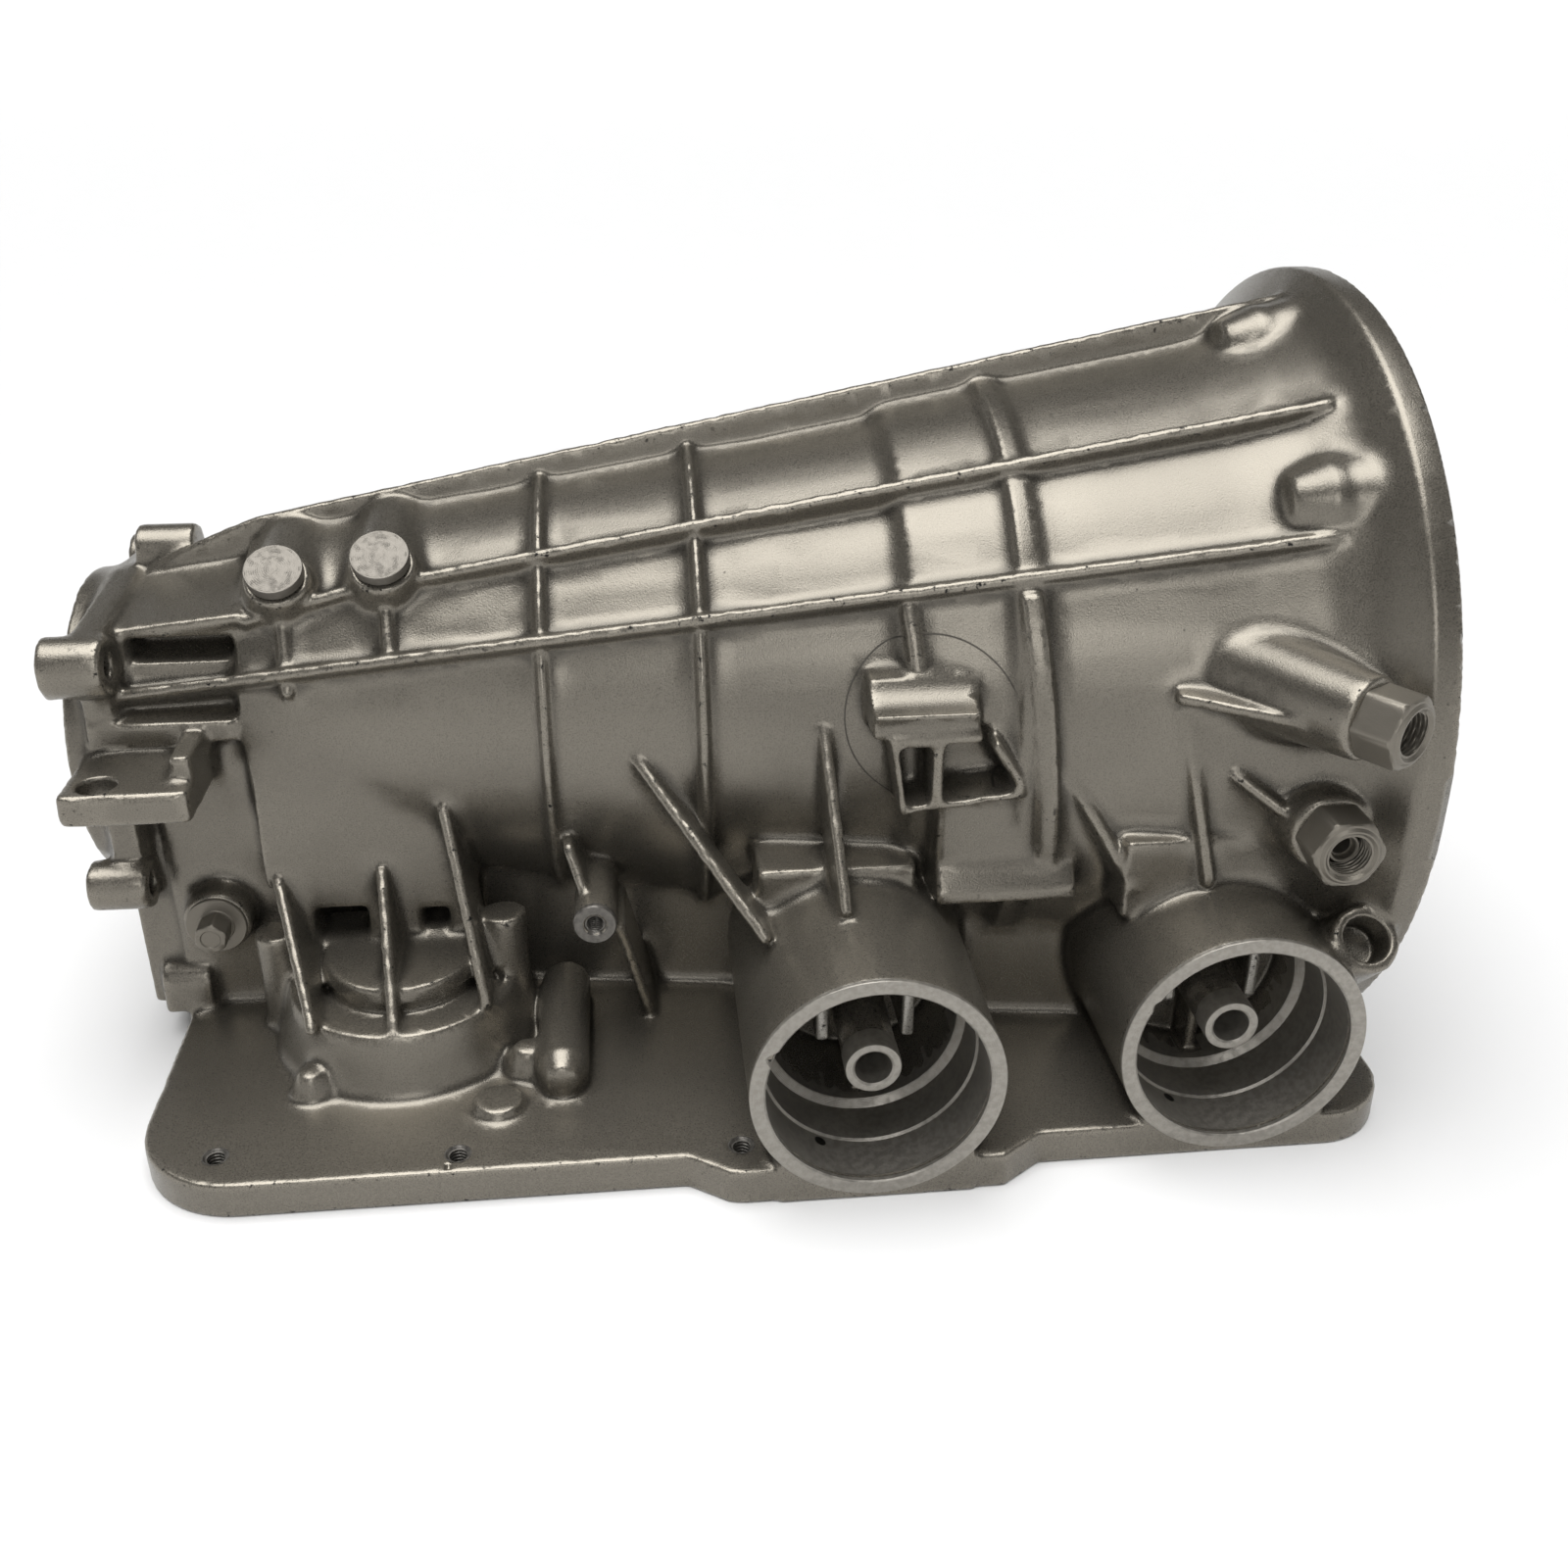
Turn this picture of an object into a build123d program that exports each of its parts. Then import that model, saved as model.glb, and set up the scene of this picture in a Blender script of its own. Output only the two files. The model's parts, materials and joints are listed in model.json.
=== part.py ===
from build123d import *
import os
from math import cos, radians, sin

os.makedirs("parts", exist_ok=True)

# Bare case of a rear-drive automatic gearbox. All sizes in millimetres.
# The shaft axis is X with the front face at X = 0 and the rear at negative X.
# The near side, with the servo cylinders, is negative Y. Z is up.

# Front flange and barrel
flange_r = 145.0
flange_t = 9.5
flare_start = -55.0
barrel_rear = -389.0
barrel_rear_r = 58.0
barrel_slope = 0.1758
step_x = -165.0
step_rear_drop = 1.8
step_front_rise = 2.0
wall_t = 7.0
register_r = 107.0
register_depth = 14.0
bore_stations = (-112.0, -210.0, -305.0)
bore_end = -379.0
bolt_circle_r = 118.0
bolt_count = 9
bolt_first_angle = 85.0
bolt_drill_r = 4.25
bolt_depth = 18.0
dome_r = 15.0
dome_back = -30.5
dome_offset = 2.5

# Rear section, which carries the tail housing
rear_face = -449.0
rear_drop = 10.0
rear_r = 50.0
rear_flange_r = 56.5
rear_flange_t = 19.0
rear_chamber_r = 42.0
rear_wall_x = -400.0
output_bore_r = 30.0
ear_len = 21.0
rear_plate_t = 10.0
ear_y = 57.0
ear_high = (33.0, 10.5)
ear_low = (-50.0, 9.0)
ear_drill_r = 4.25

# Pan rail and deck
pan_z = -121.0
rail_t = 13.0
deck_t = 6.0
rail_rear = -425.0
rail_near = -154.5
rail_far = 118.0
rail_width = 20.0
rail_corner_r = 36.0
rail_front_corner_r = 26.0
rail_bulge = 10.0
pan_drill_r = 3.4

# Skirt, the walls between the barrel and the deck
skirt_rear = -424.0
skirt_rear_half = 49.0
skirt_front_half = 98.0
skirt_waist = [(-296.0, 43.0), (-226.0, 53.0), (-150.0, 80.0)]

# Servo cylinders, both of one size, with a guide tube in each
servo_r = 41.5
servo_z = -78.0
servo_bore_r = 36.2
servo_deep_r = 32.5
servo_lead = 0.8
ring_groove = (1.8, 3.2)
ring_groove_h = 1.2
servo_floor = (-92.0, -98.0)
servo_root = -66.0
guide_r = 9.25
guide_bore_r = 6.2
servo_x = (-183.0, -59.5)
servo_mouth = (-165.5, -154.5)
guide_inset = 12.0

# Reverse servo, a drum on the deck that opens into the pan
drum_x = -342.0
drum_y = -70.0
drum_base_r = 47.0
drum_top_r = 40.5
drum_top_z = -85.0
drum_bore_r = 35.0

# Ribs
rib_t = 4.0
rib_depth = 14.0
stem_h = 4.5
ring_h = 3.5
band_x = -125.0
band_w = 11.0

# Line fittings, plugs and their holes
hex_flats = 22.0
hex_len = 14.0
collar_r = 9.3
collar_len = 1.0
fitting_bore_r = 7.6
fitting_shank_r = 8.0
fitting_shank_len = 14.0
port_shank_r = 6.0
port_flange_r = 10.7
port_hex_flats = 10.5
plug_r = 9.8
plug_shank_r = 7.5
plug_gap = 1.2
plug_rise = 11.0


def skin(x):
    """Outside radius of the plain conical barrel at station x."""
    return barrel_rear_r + barrel_slope * (x - barrel_rear)


def polar(x, r, angle):
    """Point at station x and radius r, the angle measured up from the near side."""
    return (x, -r * cos(radians(angle)), r * sin(radians(angle)))


def crest(x, h, angle):
    """Point at height h above the plain barrel."""
    return polar(x, skin(x) + h, angle)


def spun(profile, origin, axis):
    """Solid of revolution from (radius, height) points about an axis."""
    face = Plane.XZ * make_face(Polyline(*profile, close=True))
    solid = revolve(face, Axis.Z, 360)
    return Location(Plane(origin, z_dir=axis)) * solid


def turned(profile):
    """Solid of revolution from (station, radius) points about the shaft axis."""
    return revolve(make_face(Polyline(*profile, close=True)), Axis.X, 360)


def rod(origin, axis, r, length):
    """Round bar that starts at origin and runs along axis."""
    return Solid.make_cylinder(r, length, Plane(origin, z_dir=axis))


def cone(origin, axis, r0, r1, length):
    """Tapered round bar that starts at origin with radius r0."""
    return Solid.make_cone(r0, r1, length, Plane(origin, z_dir=axis))


def bullet(origin, axis, r, length):
    """Round bar with a domed far end, drawn as a taper and a blunt tip."""
    profile = [(0, 0), (r, 0), (r, length), (0.62 * r, length + 0.8 * r), (0, length + 0.95 * r)]
    return spun(profile, origin, axis)


def prism(points, plane, depth):
    """Polygon drawn on a plane and pushed along the plane's normal."""
    return extrude(plane * make_face(Polyline(*points, close=True)), depth)


def slab(points, z0, z1):
    """Flat plate from (X, Y) points between two heights."""
    return prism(points, Plane((0, 0, z0)), z1 - z0)


def fin(a, b, inward, depth, thickness):
    """Flat rib with its crest from a to b, reaching depth along inward."""
    a = Vector(a)
    b = Vector(b)
    inward = Vector(inward).normalized()
    normal = (b - a).cross(inward).normalized()
    foot = inward * depth
    ring = Polyline(a, b, b + foot, a + foot, close=True)
    return extrude(make_face(ring), thickness / 2, normal, both=True)


def box(x0, x1, y0, y1, z0, z1):
    """Plain block between two corners."""
    centre = ((x0 + x1) / 2, (y0 + y1) / 2, (z0 + z1) / 2)
    return Pos(*centre) * Box(x1 - x0, y1 - y0, z1 - z0)


# Barrel: a cone with a cast step, then the flare out to the flange
step_low = skin(step_x - 2) - step_rear_drop
step_high = skin(step_x + 2) + step_front_rise
flare_r = skin(flare_start) + step_front_rise
barrel = turned([
    (barrel_rear, 0),
    (barrel_rear, barrel_rear_r),
    (step_x - 2, step_low),
    (step_x + 2, step_high),
    (flare_start, flare_r),
    (flare_start * 0.62, flare_r + 6),
    (flare_start * 0.36, flare_r + 14.5),
    (-flange_t, flange_r),
    (0, flange_r),
    (0, 0),
])

# Ring ribs round the barrel, and the wide rounded band
case = barrel
for x in (-285.0, -232.0):
    top = skin(x) + ring_h
    base = skin(x) - wall_t / 2
    case += turned([(x - 3, base), (x - 1.2, top), (x + 1.2, top), (x + 3, base)])
band_top = skin(band_x) + step_front_rise + 3.0
band_base = skin(band_x) - wall_t / 2
case += turned([
    (band_x - band_w / 2 - 1, band_base),
    (band_x - band_w / 2 + 1.5, band_top),
    (band_x + band_w / 2 - 2.5, band_top),
    (band_x + band_w / 2 + 1, band_base),
])

# Rear section: a drum set a little low, its end flange and the bolt ears
case += rod((rear_face, 0, -rear_drop), (1, 0, 0), rear_r, barrel_rear - rear_face + 8)
case += rod((rear_face, 0, -rear_drop), (1, 0, 0), rear_flange_r, rear_flange_t)
ears = [(side * ear_y, z, r) for side in (-1, 1) for z, r in (ear_high, ear_low)]
for y, z, r in ears:
    case += rod((rear_face, y, z), (1, 0, 0), r, ear_len)
plate_top = sum(ear_high)
plate_end = rear_face + rear_flange_t
plate_low = ear_low[0] - ear_low[1]
plate = [(-ear_y, plate_low), (-ear_y, plate_top), (0, plate_top + 4.5), (ear_y, plate_top), (ear_y, plate_low)]
plate_plane = Plane((plate_end, 0, 0), x_dir=(0, 1, 0), z_dir=(1, 0, 0))
case += prism(plate, plate_plane, -rear_plate_t)
case += box(-440, skirt_rear, 3 - skirt_rear_half, skirt_rear_half - 3, -108, -40)
case += rod((-434.0, -46.0, -97.0), (1, 0, 0), 8.0, 18)
case += box(-434, -416, -54, -38, -108, -97)
case += rod((-432.0, 12.0, 51.0), (1, 0, 0), 9.5, ear_len)

# Lug block at the rear with its upright hole
case += box(-443, -401, -89, -40, -11, 0.5)
case += box(-408, -401, -80, -40, -11, 9)
case += box(-440, -391, -58, -40, 4, 12)

# Shelf behind the upper near ear, with the slot for its bolt
case += fin((-431, -44, 38.5), (-386, -47, 44), (0, 0.99, 0.12), 46, rib_t)
case += box(-431, -386, -45, 2, 12, 40)
case -= box(-426, -390, -60, -28, 29, 37.5)

# Boss for the pressure port plug
port_x = -408.0
port_z = -66.5
port_face = -60.0
case += rod((port_x, port_face, port_z), (0, 1, 0), 12.0, 50)

# Long ribs. The crest heights are above the plain barrel.
top_crest = [(-426.6, -3.4), (-407.5, 3.3), (-386.7, 7.6), (-14.0, 14.1)]
top_line = [(x, skin(x) + h) for x, h in top_crest]
top_foot = [(x, skin(x) - 2 * rib_depth) for x, h in (top_crest[-1], top_crest[0])]
case += prism(top_line + top_foot, Plane.XZ.offset(-rib_t / 2), rib_t)
side_ribs = [
    (crest(-350, 5.7, 49.3), crest(-23, 11.5, 59.1), polar(0, -1, 54.2)),
    (crest(-430, 6.7, 21.4), crest(-22.6, 8.5, 37.9), polar(0, -1, 31.9)),
]
for a, b, inward in side_ribs:
    case += fin(a, b, inward, rib_depth, rib_t)
    a_far, b_far, inward_far = [(q[0], -q[1], q[2]) for q in (a, b, inward)]
    case += fin(a_far, b_far, inward_far, rib_depth, rib_t)

# Short ribs: plug stems, the one by the flange, and the struts to the servos
plug_angle = 53.0
plug_x = (-373.0, -337.0)
short_ribs = [
    (crest(plug_x[0], stem_h, 47), crest(plug_x[0] + 2, stem_h, 19), (0, 0.84, -0.54), 10),
    (crest(plug_x[1], stem_h, 46), crest(plug_x[1] + 1.5, stem_h, 28), (0, 0.8, -0.6), 10),
    (crest(-386, 5.9, 43.1), crest(-350, 5.7, 49.3), polar(0, -1, 46), 10),
    (crest(-42, 3.5, 37), crest(-42, 3.5, 25), (0, 0.86, -0.5), 10),
    (crest(-257, -1, 2.8), (-214.7, -128, -44.5), (0.1, 0.9, -0.35), 26),
    (crest(-192.3, -1, 9.6), (-189.2, -131, -33.5), (0, 0.8, -0.6), 26),
    (crest(-115.2, 2.3, 3.3), (-89.6, -120, -36.6), (0, 0.95, -0.3), 24),
    (crest(-77, 3.7, 12.8), (-66, -125, -34), (0, 1, -0.1), 24),
    (crest(-62, 3.7, 2.9), (-46, -129, -5), (0, 1, -0.2), 20),
]
for a, b, inward, depth in short_ribs:
    case += fin(a, b, inward, depth, rib_t)

# Rounded humps from the plugs up to the top rib
for x in plug_x:
    hump_a = Vector(crest(x, -1, 51))
    hump_b = Vector(x, -1, skin(x) - 8)
    case += rod(hump_a, hump_b - hump_a, 14, (hump_b - hump_a).length)

# Domed bosses behind the front bolts
for k in (-1, 0, 1, 2):
    angle = bolt_first_angle + k * 360 / bolt_count
    seat = polar(-4.0, bolt_circle_r + dome_offset, angle)
    case += bullet(seat, (-1, 0, 0), dome_r, -4.0 - dome_back)

# Skirt walls from the barrel down to the deck
skirt_half = [(skirt_rear, skirt_rear_half), *skirt_waist, (-flange_t / 2, skirt_front_half)]
skirt = [(x, -half) for x, half in skirt_half]
skirt += [(-flange_t / 2, skirt_front_half), (skirt_rear, skirt_rear_half)]
rail_top = pan_z + rail_t
case += slab(skirt, rail_top - 2, -20)

# Pan rail with its deck. The near edge bulges out under the first servo.
rc = rail_corner_r
fc = rail_front_corner_r
bulge_x0 = servo_x[0] - servo_r - 19.5
bulge_x1 = servo_x[0] + servo_r + 15.5
bulge_y = rail_near - rail_bulge
rail_edge = Polyline(
    (rail_rear + rc, rail_near),
    (bulge_x0, rail_near),
    (bulge_x0 + 13, bulge_y + 1),
    (bulge_x0 + 18, bulge_y),
    (bulge_x1 - 14, bulge_y),
    (bulge_x1, rail_near),
    (-fc, rail_near),
)
rail_edge += RadiusArc((-fc, rail_near), (0, rail_near + fc), -fc)
rail_edge += Line((0, rail_near + fc), (0, rail_far - fc))
rail_edge += RadiusArc((0, rail_far - fc), (-fc, rail_far), -fc)
rail_edge += Line((-fc, rail_far), (rail_rear + rc, rail_far))
rail_edge += RadiusArc((rail_rear + rc, rail_far), (rail_rear, rail_far - rc), -rc)
rail_edge += Line((rail_rear, rail_far - rc), (rail_rear, rail_near + rc))
rail_edge += RadiusArc((rail_rear, rail_near + rc), (rail_rear + rc, rail_near), -rc)
rail = extrude(Plane((0, 0, pan_z)) * make_face(rail_edge), rail_t)
recess_x0 = rail_rear + rail_width
recess_y0 = rail_near + rail_width
recess_y1 = rail_far - rail_width
recess = box(recess_x0, -rail_width - 4, recess_y0, recess_y1, pan_z - 1, rail_top - deck_t)
recess = fillet(recess.edges().filter_by(Axis.Z), 14)
case += rail - recess

# Drum of the reverse servo with its stepped top, ribs and neighbours
drum_h = drum_top_z - rail_top + 2
case += cone((drum_x, drum_y, rail_top - 2), (0, 0, 1), drum_base_r, drum_top_r, drum_h)
case += rod((drum_x, drum_y, pan_z + 1), (0, 0, 1), drum_bore_r + 6, 12)
case += rod((drum_x, drum_y, drum_top_z - 1), (0, 0, 1), 27, 11)
case += box(-382, -317, -63, -38, drum_top_z - 1, -36)
drum_ribs = [
    ((-388, -52, -36), (-369, -109, -84)),
    ((-347, -66, -44), (-342, -109, -84)),
    ((-323, -69, -18), (-311, -98, -84)),
]
for a, b in drum_ribs:
    case += fin(a, b, (0, 1, -0.25), 36, rib_t)
case += rod((-305, -70, rail_top - 1), (0, 0, 1), 8, 48)
case += rod((-387, -62, rail_top - 1), (0, 0, 1), 8, 40)
case += bullet((-285, -58, -100), (0, -1, 0), 9, 56)
case += rod((-307, -122.3, rail_top - 1), (0, 0, 1), 8.5, 5)
case += bullet((-371.4, -108, rail_top - 1), (0, 0, 1), 7, 5)
case += bullet((-297.8, -102.6, rail_top - 1), (0, 0, 1), 7.5, 6)

# Threaded boss at the foot of the first ring rib
boss_x = -271.5
boss_z = -51.0
boss_face = -100.0
case += rod((boss_x, boss_face, boss_z), (0, 1, 0), 7.5, 46)
case += fin((boss_x + 8, boss_face + 5, boss_z - 4), (boss_x + 18, -74, rail_top), (0, 1, 0), 30, rib_t)
case += fin((boss_x - 9, -80, -30), (boss_x - 1, boss_face + 4, boss_z), (0, 1, -0.1), 34, rib_t)

# Servo cylinders and the flat block below the first one
for x, mouth in zip(servo_x, servo_mouth):
    case += rod((x, mouth, servo_z), (0, 1, 0), servo_r, servo_root - mouth)
block_x0 = servo_x[0] - 31.5
block_x1 = servo_x[0] + 32.5
case += box(block_x0, block_x1, servo_mouth[0], -120, pan_z, servo_z - 20)

# Shoulders on the servo roots, and the ledge between the two servos
case += box(-216, -162, -105, -80, -50, -31)
case += box(-94, -37, -119, -100, -48, -19)
ledge = [(-90, -4), (-107, -4), (-107, -30), (-113, -38.5), (-113, -43), (-90, -43)]
ledge_plane = Plane((-156, 0, 0), x_dir=(0, 1, 0), z_dir=(1, 0, 0))
case += prism(ledge, ledge_plane, 48)

# Bracket with two windows below the long rib, its hood and the bead on the hood's lip
frame = [(-174, 20), (-139.5, 20), (-128.5, 2), (-128, -4), (-169.5, -8.5)]
near_y = -112.0
near_plane = Plane((0, near_y, 0), x_dir=(1, 0, 0), z_dir=(0, -1, 0))
case += prism(frame, near_plane, -24)
hood_x0 = -179.0
hood_len = 35.0
hood = [(near_y + 2, 18), (near_y + 1.5, 27), (-98, 34.5), (-82, 34.5), (-82, 18)]
hood_plane = Plane((hood_x0, 0, 0), x_dir=(0, 1, 0), z_dir=(1, 0, 0))
case += prism(hood, hood_plane, hood_len)
case += rod((hood_x0, near_y + 1.2, 27), (1, 0, 0), 1.6, hood_len)
window_depth = 19.0
windows = [
    [(-170.5, 15.5), (-159.5, 15.5), (-159.5, -5), (-167.5, -5.5)],
    [(-155.5, 16.5), (-141.5, 16.5), (-131.5, 1), (-131.5, -2), (-155.5, -4.5)],
    [(-143.5, 21), (-140.5, 21), (-138, 15.5), (-142.5, 14)],
]

# Cooler line bosses, each ending in the seat of its hex fitting
upper_turn = 32.0
upper_x = -29.7
lower_x = -32.0
upper_axis = Vector(sin(radians(upper_turn)), -cos(radians(upper_turn)), 0)
upper_seat = crest(upper_x, 25.9, 13.3)
lower_axis = Vector(0, -1, 0)
lower_seat = (lower_x, -skin(lower_x) - 14.2, -10.5)
upper_reach = 60.0
case += cone(Vector(upper_seat) - upper_axis * upper_reach, upper_axis, 18, 13.8, upper_reach)
case += fin((-82, -115.5, 31), (-40, -146, 31), (0.3, 1, 0), 32, rib_t)
lower_reach = 50.0
case += cone(Vector(lower_seat) - lower_axis * lower_reach, lower_axis, 17, 13.6, lower_reach)

# Eye lug for the filler tube, beside the flange
eye_axis = (0, -0.7, 0.714)
eye_mouth = (-18.0, -143.2, -45.6)
eye_r = 11.5
eye_bore_r = 7.8
eye_depth = 13.0
case += rod(eye_mouth, Vector(eye_axis) * -1, eye_r, 44)

# Bosses of the two pressed plugs
plug_sites = [(x, skin(x) + plug_rise) for x in plug_x]
for x, r in plug_sites:
    case += cone(polar(x, r - 24, plug_angle), polar(0, 1, plug_angle), 14, 11.2, 24)

# Far side: the selector shaft boss
selector = (-150.0, 110.0, -70.0)
selector_r = 8.0
case += rod(selector, (0, -1, 0), 14, 40)

# Everything ends at the pan face and at the front face
case -= box(-600, 100, -300, 300, pan_z - 200, pan_z)
case -= box(0, 100, -300, 300, -300, 300)

# Main cavity: register, stepped bore, output bore and rear chamber
cavity = [(1, 0), (1, register_r), (-register_depth, register_r)]
start = -register_depth
for x in bore_stations:
    r = min(skin(x) - wall_t, register_r - 3)
    cavity += [(start, r), (x, r)]
    start = x
cavity += [(start, skin(bore_end) - wall_t - 2), (bore_end, skin(bore_end) - wall_t - 2)]
cavity += [(bore_end, output_bore_r), (rear_wall_x - 1, output_bore_r), (rear_wall_x - 1, 0)]
case -= turned(cavity)
chamber_len = rear_wall_x - rear_face
case -= rod((rear_face - 1, 0, -rear_drop), (1, 0, 0), rear_chamber_r, chamber_len + 1)
inner = [(bore_end + 2, -skirt_rear_half + wall_t)]
inner += [(x, -half + wall_t) for x, half in skirt_waist]
inner += [
    (-24, -skirt_front_half + wall_t + 3),
    (-24, skirt_front_half - wall_t - 3),
    (bore_end + 2, skirt_rear_half - wall_t),
]
case -= slab(inner, rail_top, -25)
case -= box(-330, -60, -32, 32, pan_z - 1, rail_top + 1)

# Servo bores: lead-in, retaining ring groove, piston bore and the deep part behind its ledge
for x, mouth, floor in zip(servo_x, servo_mouth, servo_floor):
    deep = floor - mouth
    bore = [
        (0, -1),
        (servo_bore_r + servo_lead, -1),
        (servo_bore_r + servo_lead, 0),
        (servo_bore_r, servo_lead),
        (servo_bore_r, ring_groove[0]),
        (servo_bore_r + ring_groove_h, ring_groove[0]),
        (servo_bore_r + ring_groove_h, ring_groove[1]),
        (servo_bore_r, ring_groove[1]),
        (servo_bore_r, 37),
        (servo_deep_r, 39),
        (servo_deep_r, deep),
        (0, deep),
    ]
    guide_end = mouth + guide_inset
    keep = rod((x, guide_end, servo_z), (0, 1, 0), guide_r, floor - guide_end + 3)
    for dx in (-14.0, 15.0):
        keep += box(x + dx - 2.2, x + dx + 2.2, mouth + 34, floor + 3, servo_z - 4, servo_z + 31)
    keep += box(x - 2.2, x + 2.2, mouth + 44, floor + 3, servo_z - 34, servo_z - 5)
    case -= spun(bore, (x, mouth, servo_z), (0, 1, 0)) - keep
    case -= rod((x, mouth, servo_z), (0, 1, 0), guide_bore_r, 130)

# Reverse servo bore, open to the pan
case -= rod((drum_x, drum_y, pan_z - 1), (0, 0, 1), drum_bore_r, drum_top_z - 6 - pan_z + 1)

# Drilled holes
for k in range(bolt_count):
    angle = bolt_first_angle + k * 360 / bolt_count
    case -= rod(polar(1, bolt_circle_r, angle), (-1, 0, 0), bolt_drill_r, bolt_depth + 1)
for y, z, r in ears:
    case -= rod((rear_face - 1, y, z), (1, 0, 0), ear_drill_r, ear_len + 2)
pan_holes = [
    (-398, -139), (-319, -145.5), (-226, -150.5), (-13, -118),
    (-414, -15), (-414, 60), (-398, 104), (-319, 107), (-226, 107), (-120, 107), (-13, 88),
]
for x, y in pan_holes:
    case -= rod((x, y, pan_z - 1), (0, 0, 1), pan_drill_r, rail_t + 2)
for points in windows:
    case -= prism(points, near_plane, -window_depth)
case -= rod((-432, -80, -20), (0, 0, 1), 6.3, 30)
case -= rod((boss_x, boss_face - 1, boss_z), (0, 1, 0), 3.4, 19)
case -= rod(Vector(eye_mouth) + Vector(eye_axis), Vector(eye_axis) * -1, eye_bore_r, eye_depth + 1)
case -= rod((selector[0], selector[1] + 1, selector[2]), (0, -1, 0), selector_r, 60)
case -= box(-373, -354, -70, -30, -74.5, -61)
case -= box(-335.5, -325, -70, -30, -72, -63)

# Holes for the separate fittings and plugs
for seat, axis in ((upper_seat, upper_axis), (lower_seat, lower_axis)):
    case -= rod(Vector(seat) + axis, axis * -1, fitting_shank_r, fitting_shank_len + 3)
case -= rod((port_x, port_face - 1, port_z), (0, 1, 0), port_shank_r, 16)
for x, r in plug_sites:
    case -= rod(polar(x, r + 1, plug_angle), polar(0, -1, plug_angle), plug_shank_r, 13)


def line_fitting(seat, axis):
    """Hex fitting on its seat, with a shank in the boss and a bore from its mouth."""
    frame = Plane(seat, z_dir=axis)
    body = extrude(RegularPolygon(hex_flats / 2, 6, major_radius=False), hex_len)
    body += Pos(0, 0, hex_len) * Solid.make_cylinder(collar_r, collar_len)
    body += Solid.make_cylinder(fitting_shank_r, fitting_shank_len, Plane((0, 0, 0), z_dir=(0, 0, -1)))
    body -= Pos(0, 0, 3) * Solid.make_cylinder(fitting_bore_r, hex_len + collar_len)
    body -= Pos(0, 0, -fitting_shank_len - 1) * Solid.make_cylinder(3.2, 30)
    return Location(frame) * body


def port_plug():
    """Hex plug with a round flange under its head."""
    body = Solid.make_cylinder(port_flange_r, 1.6)
    body += extrude(RegularPolygon(port_hex_flats / 2, 6, major_radius=False), 11.0)
    body += Solid.make_cylinder(port_shank_r, 12.0, Plane((0, 0, 0), z_dir=(0, 0, -1)))
    return Location(Plane((port_x, port_face, port_z), z_dir=(0, -1, 0))) * body


def shaft_plug(x, r):
    """Round pressed plug: head, neck that leaves a shadow gap, and shank."""
    profile = [
        (0, -11), (plug_shank_r, -11), (plug_shank_r, plug_gap), (plug_r, plug_gap),
        (plug_r, plug_gap + 4), (0, plug_gap + 4),
    ]
    return spun(profile, polar(x, r, plug_angle), polar(0, 1, plug_angle))


pieces = {
    "transmission_case": case,
    "upper_cooler_fitting": line_fitting(upper_seat, upper_axis),
    "lower_cooler_fitting": line_fitting(lower_seat, lower_axis),
    "pressure_port_plug": port_plug(),
    "rear_shaft_plug": shaft_plug(*plug_sites[0]),
    "front_shaft_plug": shaft_plug(*plug_sites[1]),
}
for name, piece in pieces.items():
    export_step(piece, f"parts/{name}.step")
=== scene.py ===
# %% [markdown]
# # A cast gearbox housing
# The object is the bare case of an automatic gearbox: one large painted aluminium casting with two hex
# line fittings, a hex plug and two pressed plugs in it. The CAD model gives every place and size. Here the
# casting gets what a foundry gives it: round fillets, soft edges, grain, paint and wear.

# %% Load the frame
import json
import math

import bmesh
import bpy
import numpy as np
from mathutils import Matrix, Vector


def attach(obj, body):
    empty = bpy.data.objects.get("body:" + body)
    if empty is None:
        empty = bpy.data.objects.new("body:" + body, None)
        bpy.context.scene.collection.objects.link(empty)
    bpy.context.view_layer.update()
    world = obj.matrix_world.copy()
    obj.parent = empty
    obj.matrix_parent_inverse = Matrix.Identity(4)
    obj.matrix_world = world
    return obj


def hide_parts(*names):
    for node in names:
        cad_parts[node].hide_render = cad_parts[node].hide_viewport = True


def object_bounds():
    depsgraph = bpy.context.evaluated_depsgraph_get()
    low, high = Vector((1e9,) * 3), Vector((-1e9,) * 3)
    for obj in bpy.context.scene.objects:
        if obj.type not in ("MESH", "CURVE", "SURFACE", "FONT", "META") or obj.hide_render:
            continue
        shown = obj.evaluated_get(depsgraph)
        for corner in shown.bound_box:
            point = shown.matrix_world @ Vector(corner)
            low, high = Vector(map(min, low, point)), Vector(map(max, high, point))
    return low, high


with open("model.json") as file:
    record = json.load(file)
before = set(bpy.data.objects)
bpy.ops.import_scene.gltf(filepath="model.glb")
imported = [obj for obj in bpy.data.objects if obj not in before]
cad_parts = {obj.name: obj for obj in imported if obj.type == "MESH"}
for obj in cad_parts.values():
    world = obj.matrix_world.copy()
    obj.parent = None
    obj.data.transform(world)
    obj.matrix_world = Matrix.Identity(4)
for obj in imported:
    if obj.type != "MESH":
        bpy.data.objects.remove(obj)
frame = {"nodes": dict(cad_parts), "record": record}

import openvdb
from mathutils import Matrix, Vector

MM = 0.001
cad_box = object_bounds()
nodes = frame["nodes"]
mounts = {m["name"]: m for m in frame["record"]["mounts"]}
print("nodes:", sorted(nodes))

# %% [markdown]
# ## Camera
# The photograph was taken from above the near side with a lens of ordinary width. A camera needs a place and
# three directions: right, up and forward. They are worked out from a pitch and a yaw, so that the horizon
# stays level.

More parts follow.
